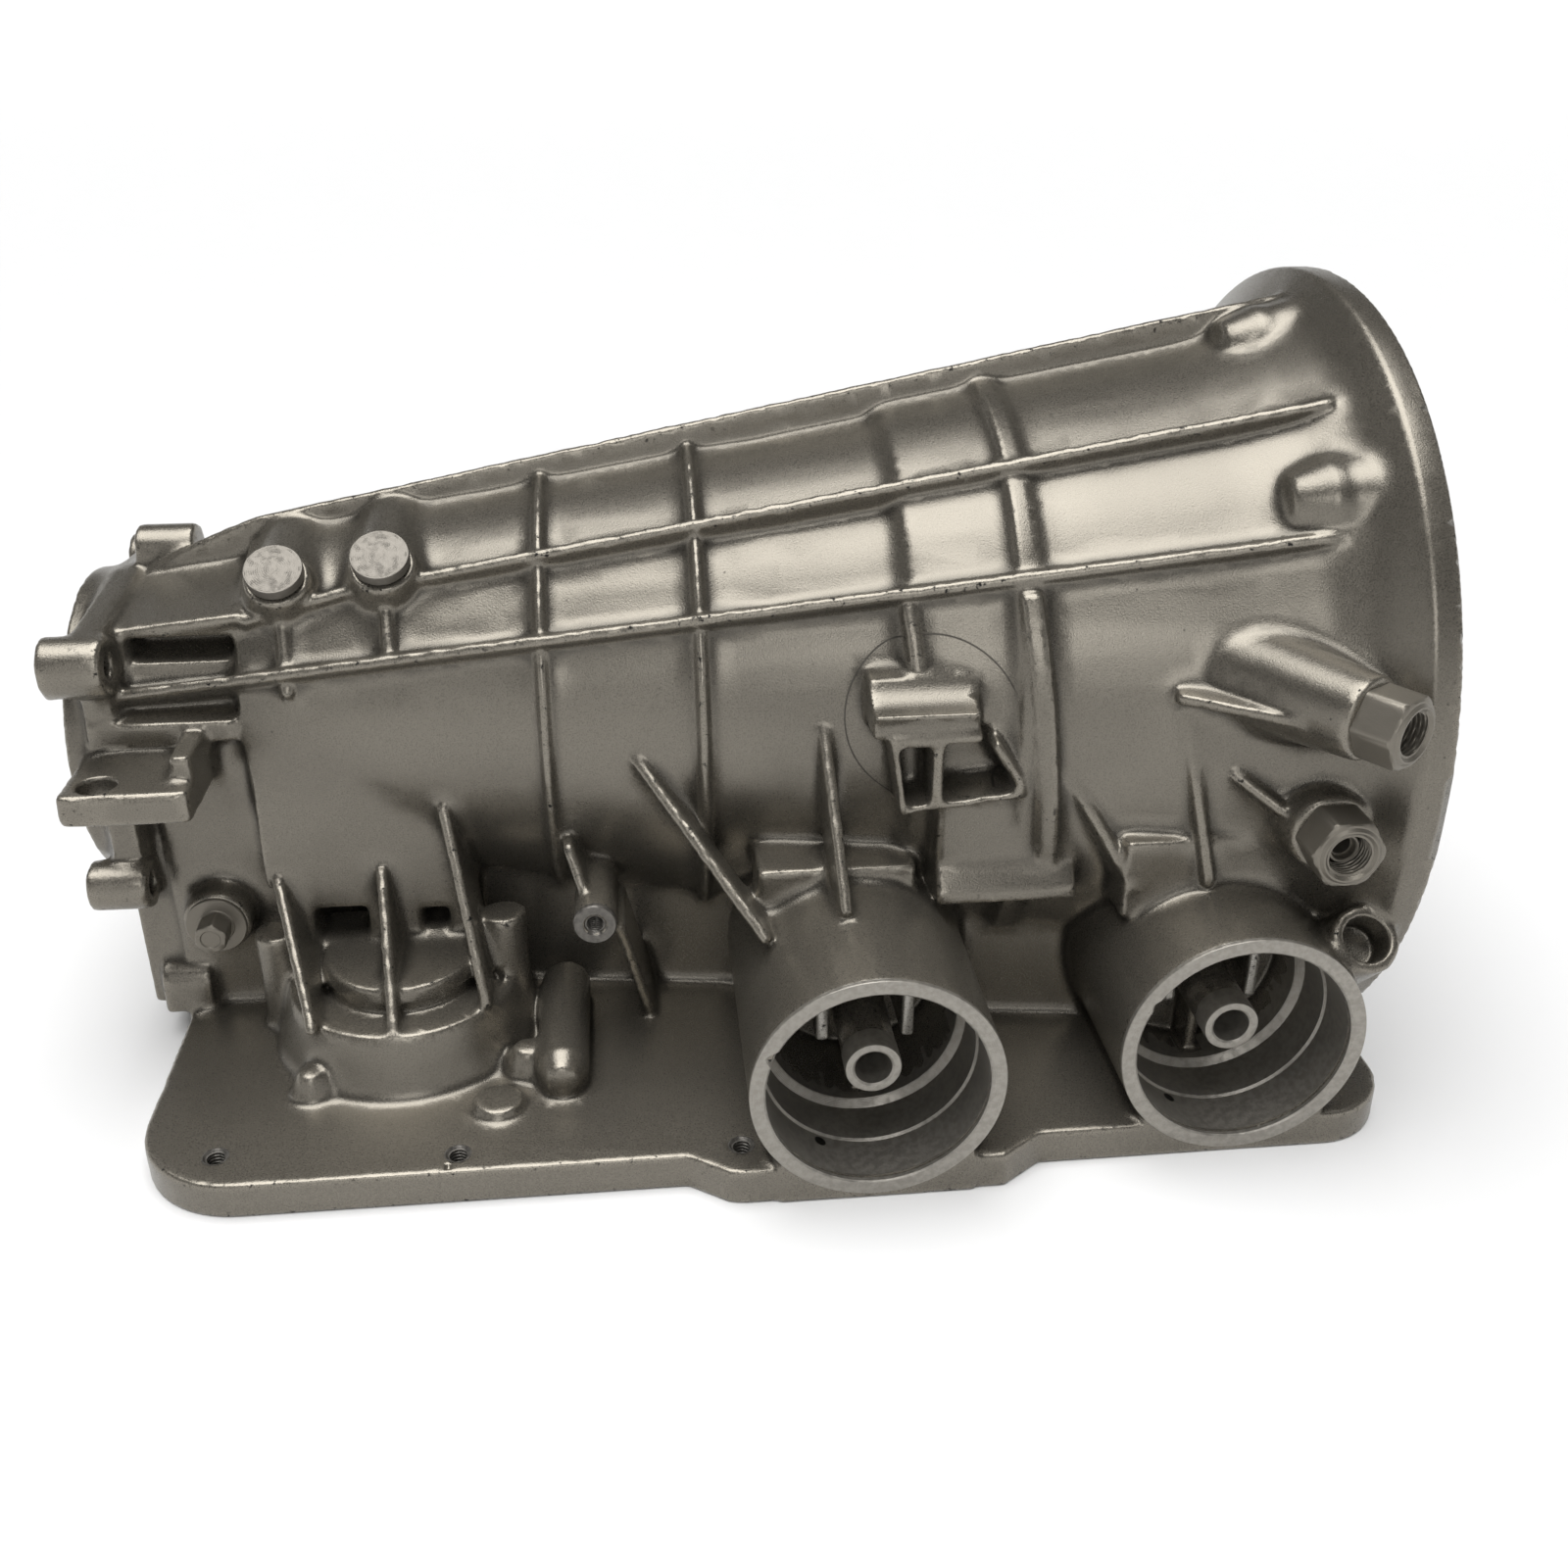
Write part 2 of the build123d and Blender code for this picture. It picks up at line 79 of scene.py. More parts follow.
# %% Camera
SENSOR_MM = 36.0
LENS_MM = 35.95
CAMERA_AT = Vector((-253.5, -561.0, 229.7)) * MM
PITCH_DOWN = math.radians(26.42)
YAW = math.radians(5.79)


def make_camera():
    forward = Vector((
        math.sin(YAW) * math.cos(PITCH_DOWN),
        math.cos(YAW) * math.cos(PITCH_DOWN),
        -math.sin(PITCH_DOWN),
    ))
    right = Vector((math.cos(YAW), -math.sin(YAW), 0.0))
    up = right.cross(forward)
    turn = Matrix((right, up, -forward)).transposed()
    data = bpy.data.cameras.new("photo_camera")
    data.sensor_width = SENSOR_MM
    data.lens = LENS_MM
    camera = bpy.data.objects.new("photo_camera", data)
    camera.matrix_world = Matrix.Translation(CAMERA_AT) @ turn.to_4x4()
    bpy.context.scene.collection.objects.link(camera)
    bpy.context.scene.camera = camera
    return camera


print("camera at", [round(v, 3) for v in make_camera().location])

# %% [markdown]
# ## Light and floor
# The photograph has one wide soft light nearly overhead. It lies bright in the bays that face up towards
# us, while the underside stays dark. A sun lamp with a very wide disc does that evenly over part and floor.
# A weak light from the front opens the shadows. The floor's far rim curves up, so that no horizon shows.

# %% Light and floor
FLOOR_REACH = 12.0
FLOOR_RISE = 8.0
RIM_STEPS = 8
CEILING_ANGLE = 54.0
CEILING_TILT = (1.5, -6.0)
CEILING_POWER = 3.9
FILL_POWER = 5.2
FILL_AT = (-0.35, -1.55, 0.85)
FILL_TARGET = (-0.2, -0.1, -0.06)
FILL_SIZE = (0.8, 0.5)
ROOM_GLOW = 0.012
ROOM_COLOUR = (0.96, 0.97, 1.0, 1.0)


def area_light(name, place, target, size, power):
    data = bpy.data.lights.new(name, "AREA")
    data.shape = "RECTANGLE"
    data.size, data.size_y = size
    data.energy = power
    light = bpy.data.objects.new(name, data)
    aim = (Vector(target) - Vector(place)).to_track_quat("-Z", "Y")
    light.matrix_world = Matrix.Translation(place) @ aim.to_matrix().to_4x4()
    bpy.context.scene.collection.objects.link(light)
    return light


def floor_bowl():
    """Flat round floor whose far rim curves up, so that no horizon shows."""
    shape = bmesh.new()
    profile = [Vector((0, 0, 0)), Vector((FLOOR_REACH, 0, 0))]
    for k in range(1, RIM_STEPS + 1):
        turn = math.radians(k * 90 / RIM_STEPS)
        rise = Vector((math.sin(turn), 0, 1 - math.cos(turn))) * FLOOR_RISE
        profile.append(Vector((FLOOR_REACH, 0, 0)) + rise)
    verts = [shape.verts.new(p + Vector((0, 0, cad_box[0].z))) for p in profile]
    edges = [shape.edges.new(pair) for pair in zip(verts, verts[1:])]
    bmesh.ops.spin(shape, geom=verts + edges, axis=(0, 0, 1), steps=64, angle=math.tau, use_merge=True)
    bmesh.ops.remove_doubles(shape, verts=shape.verts, dist=1e-5)
    bmesh.ops.recalc_face_normals(shape, faces=shape.faces)
    mesh = bpy.data.meshes.new("floor")
    shape.to_mesh(mesh)
    shape.free()
    mesh.shade_smooth()
    return mesh


def make_stage():
    area_light("front_fill", FILL_AT, FILL_TARGET, FILL_SIZE, FILL_POWER)
    sky = bpy.data.lights.new("soft_ceiling", "SUN")
    sky.angle = math.radians(CEILING_ANGLE)
    sky.energy = CEILING_POWER
    ceiling = bpy.data.objects.new("soft_ceiling", sky)
    ceiling.rotation_euler = (math.radians(CEILING_TILT[0]), math.radians(CEILING_TILT[1]), 0)
    bpy.context.scene.collection.objects.link(ceiling)
    world = bpy.data.worlds.new("studio")
    world.use_nodes = True
    background = world.node_tree.nodes["Background"]
    background.inputs["Color"].default_value = ROOM_COLOUR
    background.inputs["Strength"].default_value = ROOM_GLOW
    bpy.context.scene.world = world
    bpy.context.scene.view_settings.view_transform = "Standard"
    floor = bpy.data.objects.new("floor", floor_bowl())
    bpy.context.scene.collection.objects.link(floor)
    return floor


floor = make_stage()
print("floor level", round(cad_box[0].z, 4))

# %% [markdown]
# ## The casting as a distance field
# A CAD model has knife edges where a casting has fillets. One way to round them is a bevel on every edge, but
# where ribs, rings and bosses cross there are too many small edges for that. Here the solid is turned into a
# grid that holds the distance to its surface. Blurring that grid rounds everything at once.

# %% Distance field of the CAD case
VOXEL = 0.9
BAND = 9.0
MARGIN = 3


def node_triangles(name):
    mesh = nodes[name].data
    mesh.calc_loop_triangles()
    places = np.empty(len(mesh.vertices) * 3, np.float32)
    mesh.vertices.foreach_get("co", places)
    corners = np.empty(len(mesh.loop_triangles) * 3, np.int32)
    mesh.loop_triangles.foreach_get("vertices", corners)
    return places.reshape(-1, 3) / MM, corners.reshape(-1, 3)


points, triangles = node_triangles("transmission_case")
grid_step = openvdb.createLinearTransform(voxelSize=VOXEL)
level_set = openvdb.FloatGrid.createLevelSetFromPolygons(
    points, triangles=triangles, transform=grid_step, halfWidth=BAND / VOXEL
)
first, last = (np.array(c) for c in level_set.evalActiveVoxelBoundingBox())
first = first - MARGIN
sharp = np.empty(tuple(last + MARGIN - first + 1), np.float32)
level_set.copyToArray(sharp, ijk=tuple(int(v) for v in first))
print("grid", sharp.shape, "of", VOXEL, "mm")

# %% [markdown]
# ## Soft forms of the pattern
# A few forms are easier to say as a distance than as a solid: two raised bands that run down the barrel,
# the wall that falls from the barrel to the drum, and the round tips of the bolt bosses. Each is a rule that
# gives how far a point is from the form. The nearer of that and the case's own distance joins the two.

# %% Soft forms
BARREL_REAR_X = -389.0
BARREL_REAR_R = 58.0
BARREL_SLOPE = 0.1758
# Each band: x at its upper end, lean in mm per degree, width, height, lowest and highest angle.
BANDS = [
    (-126.0, 0.165, 7.0, 7.4, (-17.0, 33.0)),
    (-164.6, 0.17, 4.5, 5.0, (18.0, 33.0)),
]
BAND_LOW = (-14.0, -125.0, -45.0)
BAND_HIGH = (18.0, -60.0, 75.0)
BAND_ROOT = 5.0
WALL_LOW = (-394.0, -75.0, -60.0)
WALL_HIGH = (-311.0, -25.0, 8.0)
WALL_X = (-388.0, -317.0)
WALL_Y = -63.0
WALL_BACK_Y = -32.0
WALL_START_Z = -6.0
WALL_FULL_Z = -36.0
WALL_FOOT_Z = -52.0
MAIN_BORE_R = mounts["front_register"]["dims"]["r_mm"]
BOLT_CIRCLE_R = mounts["front_bolts"]["dims"]["pcd_mm"] / 2
FRONT_BOLT_ANGLE = 85.0
BOLT_STEP = 360 / mounts["front_bolts"]["dims"]["count"]
DOME_R = 17.0
DOME_LEN = 21.5
DOME_X = -14.0
DOME_OFFSET = 2.5
DOME_REACH = 26.0
BOLT_ZONE_R = 6.0
BOLT_ZONE_LEN = 20.0
DOMES = (-1, 0, 1, 2)
FRONT_KEEP = 3.0
BORE_KEEP = 1.0


def barrel_r(x):
    return BARREL_REAR_R + BARREL_SLOPE * (x - BARREL_REAR_X)


def block_at(low_mm, high_mm):
    """Slices of the grid between two corners, with the places along each axis."""
    low = np.maximum(np.floor(np.array(low_mm) / VOXEL).astype(int) - first, 0)
    high = np.minimum(np.ceil(np.array(high_mm) / VOXEL).astype(int) - first, np.array(sharp.shape))
    spans = [(np.arange(low[k], high[k]) + first[k]) * VOXEL for k in range(3)]
    part = tuple(slice(low[k], high[k]) for k in range(3))
    return part, np.meshgrid(*spans, indexing="ij", sparse=True)


def join(part, distance):
    sharp[part] = np.minimum(sharp[part], distance)


def largest(*distances):
    total = distances[0]
    for distance in distances[1:]:
        total = np.maximum(total, distance)
    return total


def add_band(start_x, lean, width, height, angles):
    """Raised band on the barrel's near side, which leans along the barrel as it runs down."""
    low = (start_x + BAND_LOW[0], *BAND_LOW[1:])
    high = (start_x + BAND_HIGH[0], *BAND_HIGH[1:])
    part, (x, y, z) = block_at(low, high)
    r = np.hypot(y, z)
    skin = barrel_r(x)
    angle = np.degrees(np.arctan2(z, -y))
    middle = start_x + lean * (angles[1] - angle)
    ends = np.maximum(angle - angles[1], angles[0] - angle) * np.radians(1) * r
    join(part, largest(np.abs(x - middle) - width / 2, r - skin - height, skin - BAND_ROOT - r, ends))


def add_drop_wall():
    """Wall that falls from the barrel's side to the drum, and stands out more the lower it gets."""
    part, (x, y, z) = block_at(WALL_LOW, WALL_HIGH)
    share = np.clip((WALL_START_Z - z) / (WALL_START_Z - WALL_FULL_Z), 0, 1)
    skin = barrel_r(x)
    further = -WALL_Y - skin
    face = -(skin + np.minimum(further, 0) + np.maximum(further, 0) * share)
    join(part, largest(face - y, y - WALL_BACK_Y, WALL_X[0] - x, x - WALL_X[1], z, WALL_FOOT_Z - z))


def add_dome(k):
    """Round end of a bolt boss, kept off the front face, the bolt's hole and the main bore."""
    angle = math.radians(FRONT_BOLT_ANGLE + k * BOLT_STEP)
    r = BOLT_CIRCLE_R + DOME_OFFSET
    tip = np.array((DOME_X, -r * math.cos(angle), r * math.sin(angle)))
    part, (x, y, z) = block_at(tip - DOME_REACH, tip + DOME_REACH)
    across = np.hypot(y - tip[1], z - tip[2]) / DOME_R
    dome = (np.hypot((x - tip[0]) / DOME_LEN, across) - 1) * DOME_R
    bolt_y, bolt_z = -BOLT_CIRCLE_R * math.cos(angle), BOLT_CIRCLE_R * math.sin(angle)
    hole = np.minimum(BOLT_ZONE_R - np.hypot(y - bolt_y, z - bolt_z), x + BOLT_ZONE_LEN)
    join(part, largest(dome, x + FRONT_KEEP, hole, MAIN_BORE_R + BORE_KEEP - np.hypot(y, z)))


for band in BANDS:
    add_band(*band)
add_drop_wall()
for k in DOMES:
    add_dome(k)
print("bands", len(BANDS), "domes", len(DOMES))

# %% [markdown]
# ## Blurring the field
# A blur along each axis in turn is the same as a round blur, and much quicker. In an inside corner the
# blurred field lies further out than the sharp one, and on an outside edge further in. Taking the nearer of
# the two fills the corners with fillets and leaves the edges alone. A second, smaller blur then breaks the
# edges.

# %% Fillets and broken edges
FILLET_BLUR = 3.0
EDGE_BLUR = 0.9
MACHINED_BLUR = 0.45


def shifted(axis, start, stop):
    cut = [slice(None)] * 3
    cut[axis] = slice(start, stop)
    return tuple(cut)


def blurred(field, width_mm):
    sigma = width_mm / VOXEL
    reach = int(math.ceil(2.6 * sigma))
    weights = np.exp(-0.5 * (np.arange(reach + 1) / sigma) ** 2)
    weights /= weights[0] + 2 * weights[1:].sum()
    for axis in range(3):
        size = field.shape[axis]
        out = field * np.float32(weights[0])
        for k in range(1, reach + 1):
            weight = np.float32(weights[k])
            out[shifted(axis, 0, size - k)] += weight * field[shifted(axis, k, size)]
            out[shifted(axis, k, size)] += weight * field[shifted(axis, 0, size - k)]
            out[shifted(axis, size - k, size)] += weight * field[shifted(axis, size - 1, size)]
            out[shifted(axis, 0, k)] += weight * field[shifted(axis, 0, 1)]
        field = out
    return field


broad = blurred(sharp, FILLET_BLUR)
cast = blurred(np.minimum(sharp, broad), EDGE_BLUR)
print("fillets about", round(1.9 * FILLET_BLUR, 1), "mm")

# %% [markdown]
# ## Machined places
# Holes, bores and sealing faces are cut after casting, so they keep crisp edges. Each is marked in a second
# grid by a cylinder along its axis, and there the sharp field is used. The mounts in the frame's record
# give most of the axes. The others are listed with their place, direction, radius and length.

# %% Machined zones
BLEND_MM = 1.6
SERVOS = {
    "rear": Vector((-183.0, -165.5, -78.0)),
    "front": Vector((-59.5, -154.5, -78.0)),
}
SERVO_BORE_R = 36.2
SERVO_DEPTH = 74.0
PAN_HOLES = [
    (-398, -139), (-319, -145.5), (-226, -150.5), (-13, -118),
    (-414, -15), (-414, 60), (-398, 104), (-319, 107), (-226, 107), (-120, 107), (-13, 88),
]
THREADED_BOSS = Vector((-271.5, -100.0, -51.0))
EYE_MOUTH = Vector((-18.0, -143.2, -45.6))
EYE_AXIS = Vector((0.0, -0.7, 0.714))


def machined_cylinders():
    """(place on the axis, axis, radius, from, to) of each cut place, in mm."""
    zones = []
    for mount in mounts.values():
        place = Vector(mount["pos_m"]) / MM
        axis = Vector(mount["axis"])
        if "length_mm" in mount["dims"]:
            reach = mount["dims"]["length_mm"]
            zones.append((place, axis, mount["dims"]["r_mm"] + 1.5, -reach, reach))
    for servo in SERVOS.values():
        zones.append((servo, Vector((0, 1, 0)), SERVO_BORE_R + 3.6, -3, SERVO_DEPTH))
    for x, y in PAN_HOLES:
        zones.append((Vector((x, y, -121)), Vector((0, 0, 1)), 5.0, -3, 18))
    for k in range(mounts["front_bolts"]["dims"]["count"]):
        angle = math.radians(FRONT_BOLT_ANGLE + k * BOLT_STEP)
        place = Vector((0, -math.cos(angle), math.sin(angle))) * BOLT_CIRCLE_R
        zones.append((place, Vector((-1, 0, 0)), BOLT_ZONE_R, -3, BOLT_ZONE_LEN))
    rear = mounts["rear_bolts"]
    centre = Vector(rear["pos_m"]) / MM
    for side_y in (-0.5, 0.5):
        for side_z in (-0.5, 0.5):
            dims = rear["dims"]
            offset = Vector((0, side_y * dims["spacing_x_mm"], side_z * dims["spacing_y_mm"]))
            zones.append((centre + offset, Vector((1, 0, 0)), 5.8, -3, 24))
    zones.append((THREADED_BOSS, Vector((0, 1, 0)), 7.6, -3, 16))
    zones.append((EYE_MOUTH, -EYE_AXIS, 9.0, -4, 14))
    return zones


def cylinder_block(zone):
    """The grid block round a cylinder, with distances along and away from its axis."""
    place, axis, radius, start, stop = zone
    axis = np.array(axis.normalized())
    place = np.array(place)
    ends = np.array([place + axis * start, place + axis * stop])
    reach = radius + 2 * BLEND_MM
    part, grid = block_at(ends.min(0) - reach, ends.max(0) + reach)
    x, y, z = (grid[k] - place[k] for k in range(3))
    along = x * axis[0] + y * axis[1] + z * axis[2]
    away = np.sqrt(np.maximum(x * x + y * y + z * z - along * along, 0))
    return part, along, away


def mark_cylinder(mask, zone):
    """Raises the mask to 1 inside a cylinder, with a soft rim."""
    part, along, away = cylinder_block(zone)
    depth = np.minimum(np.minimum(along - zone[3], zone[4] - along), zone[2] - away)
    mask[part] = np.maximum(mask[part], np.clip(depth / BLEND_MM + 0.5, 0, 1))


def carve_cylinder(field, zone, inner=0.0):
    """Takes a cylinder, or a ring with an inner radius, out of the solid."""
    part, along, away = cylinder_block(zone)
    depth = np.minimum(np.minimum(along - zone[3], zone[4] - along), zone[2] - away)
    if inner:
        depth = np.minimum(depth, away - inner)
    field[part] = np.maximum(field[part], depth)


machined = np.zeros(sharp.shape, np.float32)
for zone in machined_cylinders():
    mark_cylinder(machined, zone)
FACE_KEEP = 1.2
near_pan = int((cad_box[0].z / MM + FACE_KEEP) / VOXEL) - first[2]
near_front = int((cad_box[1].x / MM - FACE_KEEP) / VOXEL) - first[0]
machined[:, :, : near_pan + 1] = 1
machined[near_front:, :, :] = 1
cut_edges = blurred(sharp, MACHINED_BLUR)
skin_field = cast + machined * (cut_edges - cast)
print("machined share of the grid", round(float(machined.mean()), 4))

# %% [markdown]
# ## Ragged crests and seats for turned surfaces
# Where two halves of a mould meet, a little metal squeezes out. On this case it runs along the rib crests as
# a broken, slightly wavy edge. Random numbers that are blurred make a lumpy field, and it is added only where
# the casting bends outwards. The servo bores get a shallow seat, because their turned surfaces are made later
# as exact round shapes. A nick in the rail and the hollow of the bracket's hood are carved the same way.

# %% Ragged crests and seats
FLASH_MM = 0.28
SEAT_MM = 0.5
GUIDE_R = 9.25
GUIDE_BORE_R = 6.2
GUIDE_INSET = 12.0
LEDGE_DEPTH = 38.0
LEDGE_R = 32.5
INTO_BORE = Vector((0, 1, 0))
RAIL_NICK = (Vector((-321.8, -151.6, -108.0)), Vector((0, 0.5, -1)).normalized(), 1.0, -4, 2)
HOOD_HOLLOW = (Vector((-179.0, -110.1, 41.3)), Vector((1, 0, 0)), 14.0, -2, 37)


def lumps(width_mm, seed):
    """Smooth random field with values of about -1 to 1."""
    field = np.random.default_rng(seed).standard_normal(sharp.shape, dtype=np.float32)
    field = blurred(field, width_mm)
    return field / (2 * field.std())


crest = np.clip((broad - sharp) / 2 - 0.3, 0, 1) * (1 - machined)
skin_field += FLASH_MM * crest * lumps(1.2, 3)
for mouth in SERVOS.values():
    guide_end = mouth + INTO_BORE * GUIDE_INSET
    carve_cylinder(skin_field, (mouth, INTO_BORE, SERVO_BORE_R + 5.0, -4, SEAT_MM))
    carve_cylinder(skin_field, (mouth, INTO_BORE, SERVO_BORE_R + SEAT_MM, -4, LEDGE_DEPTH), LEDGE_R)
    carve_cylinder(skin_field, (guide_end, INTO_BORE, GUIDE_R + 0.8, -4, SEAT_MM))
    carve_cylinder(skin_field, (guide_end, INTO_BORE, GUIDE_BORE_R + SEAT_MM, -4, 20))
for zone in (RAIL_NICK, HOOD_HOLLOW):
    carve_cylinder(skin_field, zone)
print("crest share", round(float((crest > 0.1).mean()), 4))

# %% [markdown]
# ## From field to mesh
# The zero level of the field is the surface. The mesher makes large faces where the casting is smooth and
# small ones where it bends. A decimate step brings the count down, and the normals are then read from the
# field itself, so the paint shows no facets.

# %% Casting skin
TRIANGLE_LIMIT = 190000
ADAPTIVITY = 0.06
MAIN_BORE_DEPTH = 110.0
WEB_DEPTH = 34.0
CUT_NEAR = 0.6


def sampled(field, places_mm):
    """Field values at places, mixed from the eight cells around each."""
    cell = places_mm / VOXEL - first
    base = np.clip(np.floor(cell).astype(int), 0, np.array(field.shape) - 2)
    part = cell - base
    total = np.zeros(len(cell))
    for dx in (0, 1):
        for dy in (0, 1):
            for dz in (0, 1):
                corner = field[base[:, 0] + dx, base[:, 1] + dy, base[:, 2] + dz]
                wx = part[:, 0] if dx else 1 - part[:, 0]
                wy = part[:, 1] if dy else 1 - part[:, 1]
                wz = part[:, 2] if dz else 1 - part[:, 2]
                total += corner * wx * wy * wz
    return total


def field_normals(field, places_mm):
    slope = np.empty((len(places_mm), 3))
    for axis in range(3):
        step = np.zeros(3)
        step[axis] = VOXEL
        slope[:, axis] = sampled(field, places_mm + step) - sampled(field, places_mm - step)
    return slope / np.maximum(np.linalg.norm(slope, axis=1, keepdims=True), 1e-9)


def mesh_of_field(field):
    grid = openvdb.FloatGrid(BAND)
    grid.copyFromArray(field, ijk=tuple(int(v) for v in first))
    grid.transform = grid_step
    places, corners3, corners4 = grid.convertToPolygons(isovalue=0.0, adaptivity=ADAPTIVITY)
    mesh = bpy.data.meshes.new("casting_raw")
    mesh.from_pydata((places * MM).tolist(), [], corners3.tolist() + corners4.tolist())
    return mesh, len(corners3) + 2 * len(corners4)


def thinned(mesh, count):
    """Copy of the mesh with at most TRIANGLE_LIMIT triangles."""
    holder = bpy.data.objects.new("casting_raw", mesh)
    bpy.context.scene.collection.objects.link(holder)
    step = holder.modifiers.new("fewer", "DECIMATE")
    step.ratio = min(1.0, TRIANGLE_LIMIT / count)
    step.use_collapse_triangulate = True
    ready = holder.evaluated_get(bpy.context.evaluated_depsgraph_get())
    result = bpy.data.meshes.new_from_object(ready)
    bpy.data.objects.remove(holder)
    return result


def cut_faces(places_mm):
    """1 on the machined faces and in the main bore, where the metal is bare."""
    x, y, z = places_mm.T
    front = x > cad_box[1].x / MM - CUT_NEAR
    pan = z < cad_box[0].z / MM + CUT_NEAR
    rear = x < cad_box[0].x / MM + CUT_NEAR
    register = (np.hypot(y, z) < MAIN_BORE_R + CUT_NEAR) & (x > -MAIN_BORE_DEPTH)
    bare = front | pan | rear | register
    for mouth in SERVOS.values():
        reach = np.hypot(x - mouth.x, z - mouth.z)
        bare |= (np.abs(y - mouth.y - WEB_DEPTH) < 0.8) & (reach < LEDGE_R) & (reach > GUIDE_R + 1)
    return bare.astype(np.float32)


def make_casting():
    raw, count = mesh_of_field(skin_field)
    mesh = thinned(raw, count)
    mesh.name = "transmission_case_skin"
    places = np.empty(len(mesh.vertices) * 3, np.float32)
    mesh.vertices.foreach_get("co", places)
    low, high = (np.array(c) for c in cad_box)
    places = np.clip(places.reshape(-1, 3), low, high)
    mesh.vertices.foreach_set("co", places.ravel())
    places_mm = places / MM
    bend = (sampled(broad, places_mm) - sampled(sharp, places_mm)) / 2
    for name, values in (("bend", np.clip(bend, -1, 1)), ("cut", cut_faces(places_mm))):
        attribute = mesh.attributes.new(name, "FLOAT", "POINT")
        attribute.data.foreach_set("value", values.astype(np.float32))
    mesh.shade_smooth()
    mesh.normals_split_custom_set_from_vertices(field_normals(skin_field, places_mm).tolist())
    return add_piece("transmission_case_skin", mesh, "transmission_case")


def add_piece(name, mesh, node=None, place=Matrix.Identity(4)):
    """Puts a mesh in the scene as a piece that rides on the part."""
    piece = bpy.data.objects.new(name, mesh)
    piece.matrix_world = place
    bpy.context.scene.collection.objects.link(piece)
    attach(piece, "root")
    if node:
        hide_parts(node)
    return piece


casting = make_casting()
print("casting triangles", len(casting.data.polygons))

# %% [markdown]
# ## Round shapes from rows
# Turned pieces, hex heads and threads are all rings stacked along an axis. Each row gives a height and a
# radius, and the radius may change with the angle: a hexagon is a ring whose radius swells at six corners,
# and a thread is a ring whose radius moves round a little with every row. Joining the rows makes the skin.

# %% Row meshes
SHARP_ANGLE = math.radians(32)


def row_mesh(name, rows, steps, fill_end=False):
    """Mesh from (height, radius) rows in mm. A radius is a number or a function of the angle."""
    shape = bmesh.new()
    rings = []
    for height, radius in rows:
        ring = []
        for k in range(steps):
            angle = math.tau * k / steps
            r = radius(angle) if callable(radius) else radius
            ring.append(shape.verts.new(Vector((r * math.cos(angle), r * math.sin(angle), height)) * MM))
        rings.append(ring)
    for low, high in zip(rings, rings[1:]):
        for k in range(steps):
            shape.faces.new((low[k], low[k - 1], high[k - 1], high[k]))
    if fill_end:
        shape.faces.new(rings[-1])
    shape.normal_update()
    for edge in shape.edges:
        edge.smooth = edge.calc_face_angle(0) < SHARP_ANGLE
    mesh = bpy.data.meshes.new(name)
    shape.to_mesh(mesh)
    shape.free()
    for face in mesh.polygons:
        face.use_smooth = True
    return mesh


def axis_frame(seat_mm, axis, side):
    """Matrix whose Z is the axis and whose X lies as near as it can to side."""
    z = Vector(axis).normalized()
    x = (Vector(side) - z * z.dot(Vector(side))).normalized()
    turn = Matrix((x, z.cross(x), z)).transposed()
    return Matrix.Translation(Vector(seat_mm) * MM) @ turn.to_4x4()


def hexagon(flats, corner=0.35):
    """Radius of a hexagon with slightly blunt corners, as a function of the angle."""
    limit = flats / 2 / math.cos(math.pi / 6) - corner

    def radius(angle):
        return min(flats / 2 / math.cos(angle % (math.pi / 3) - math.pi / 6), limit)

    return radius


def under_cone(radius, cap):
    """The smaller of a radius function and a plain radius: a chamfer on a hexagon."""
    return lambda angle: min(radius(angle), cap)


def thread_rows(top, bottom, r, height, pitch, step):
    """Rows of an inside thread, from top down to bottom."""

    def ring(z):
        def radius(angle):
            turn = (z / pitch - angle / math.tau) % 1
            off = abs(turn - 0.5)
            return r - height * min(1.0, 2.6 * off * 2 - 0.4 if off > 0.08 else 0.0)

        return radius

    count = int((top - bottom) / step)
    return [(top - k * step, ring(top - k * step)) for k in range(count + 1)]


print("row tools ready")

# %% [markdown]
# ## Line fittings
# Two steel fittings screw into the cooler bosses. Each is a length of hexagon bar with its corners turned off
# at the end, drilled and tapped for the line's nut. The lower one has a small tube standing inside.

# %% Line fittings
HEX_FLATS = 22.0
HEX_LEN = 14.0
FACE_R = 9.3
FITTING_BORE_R = 7.6
FITTING_LEN = 15.0


def fitting_rows(inner_tube):
    bar = hexagon(HEX_FLATS)
    rows = [(-14.0, 7.9), (0.02, 7.9), (0.02, bar), (HEX_LEN - 1.3, bar)]
    rows += [(HEX_LEN - 0.6, under_cone(bar, HEX_FLATS / 2 + 0.75))]
    rows += [(HEX_LEN, under_cone(bar, HEX_FLATS / 2 - 0.3))]
    rows += [(HEX_LEN + 0.1, FACE_R + 0.7), (HEX_LEN + 0.6, FACE_R + 0.2), (FITTING_LEN, FACE_R - 0.2)]
    rows += [(FITTING_LEN, FITTING_BORE_R + 0.9), (FITTING_LEN - 1.0, FITTING_BORE_R)]
    rows += thread_rows(FITTING_LEN - 1.1, 4.6, FITTING_BORE_R, 0.75, 1.5, 0.2)
    rows += [(4.4, FITTING_BORE_R), (3.0, FITTING_BORE_R - 0.4)]
    if inner_tube:
        rows += [(3.0, 5.2), (8.6, 5.2), (9.0, 4.9), (9.0, 4.3), (8.6, 4.0), (6.0, 4.0), (6.0, 3.3)]
    rows += [(3.0, 3.2), (-8.0, 3.2)]
    return rows


